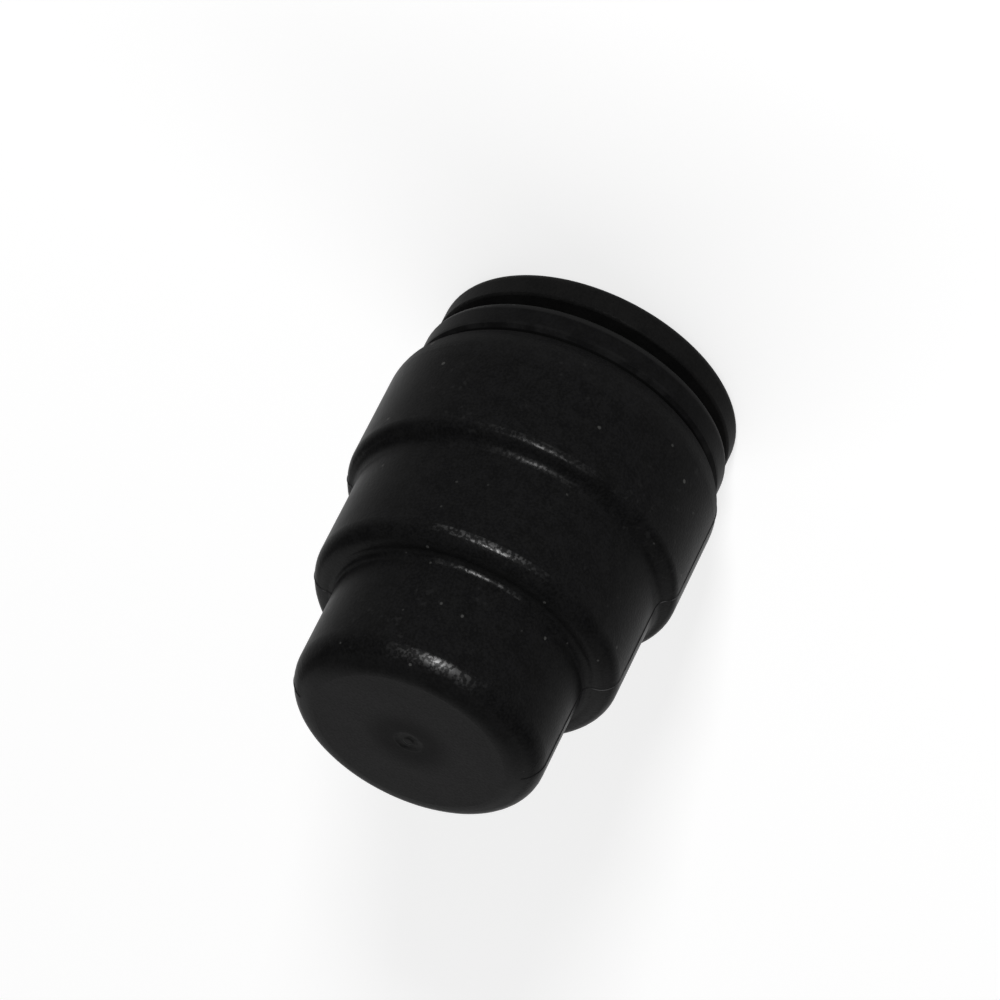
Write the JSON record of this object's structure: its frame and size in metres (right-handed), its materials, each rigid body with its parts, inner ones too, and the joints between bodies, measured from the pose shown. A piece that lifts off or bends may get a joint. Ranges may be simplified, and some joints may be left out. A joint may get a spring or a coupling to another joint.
{
  "type": "push-fit pipe end cap",
  "caption": "Stepped black plastic cap that pushes onto the end of a plain pipe, seals it and grips it, with a flanged collet that slides in to release it.",
  "frame": {"origin": "on the pipe's axis, in the plane of the mouth, at the outer face of the release collet", "axes": "+Z along the pipe's axis, from the mouth to the closed end; the pipe goes in from below"},
  "size_m": [0.0266, 0.0266, 0.0356],
  "materials": {
    "cap_plastic": "black moulded plastic with a fine spark-eroded grain",
    "ring_plastic": "black moulded plastic, smooth satin",
    "collet_plastic": "black moulded plastic, dull",
    "spacer_plastic": "black moulded plastic, smooth",
    "seal_rubber": "moulded rubber, dull",
    "tooth_steel": "thin stainless strip, stamped"
  },
  "bodies": {
    "cap": {"cap_body": "cap_plastic", "seal_ring": "seal_rubber", "seal_spacer": "spacer_plastic", "retaining_ring": "ring_plastic"},
    "collet": {"release_collet": "collet_plastic", "grip_tooth_1": "tooth_steel", "grip_tooth_2": "tooth_steel", "grip_tooth_3": "tooth_steel", "grip_tooth_4": "tooth_steel", "grip_tooth_5": "tooth_steel", "grip_tooth_6": "tooth_steel", "grip_tooth_7": "tooth_steel", "grip_tooth_8": "tooth_steel"}
  },
  "joints": [
    {"name": "collet_release", "type": "slide", "parent": "cap", "child": "collet", "axis": [0, 0, 1], "range_m": [0, 0.001]}
  ]
}
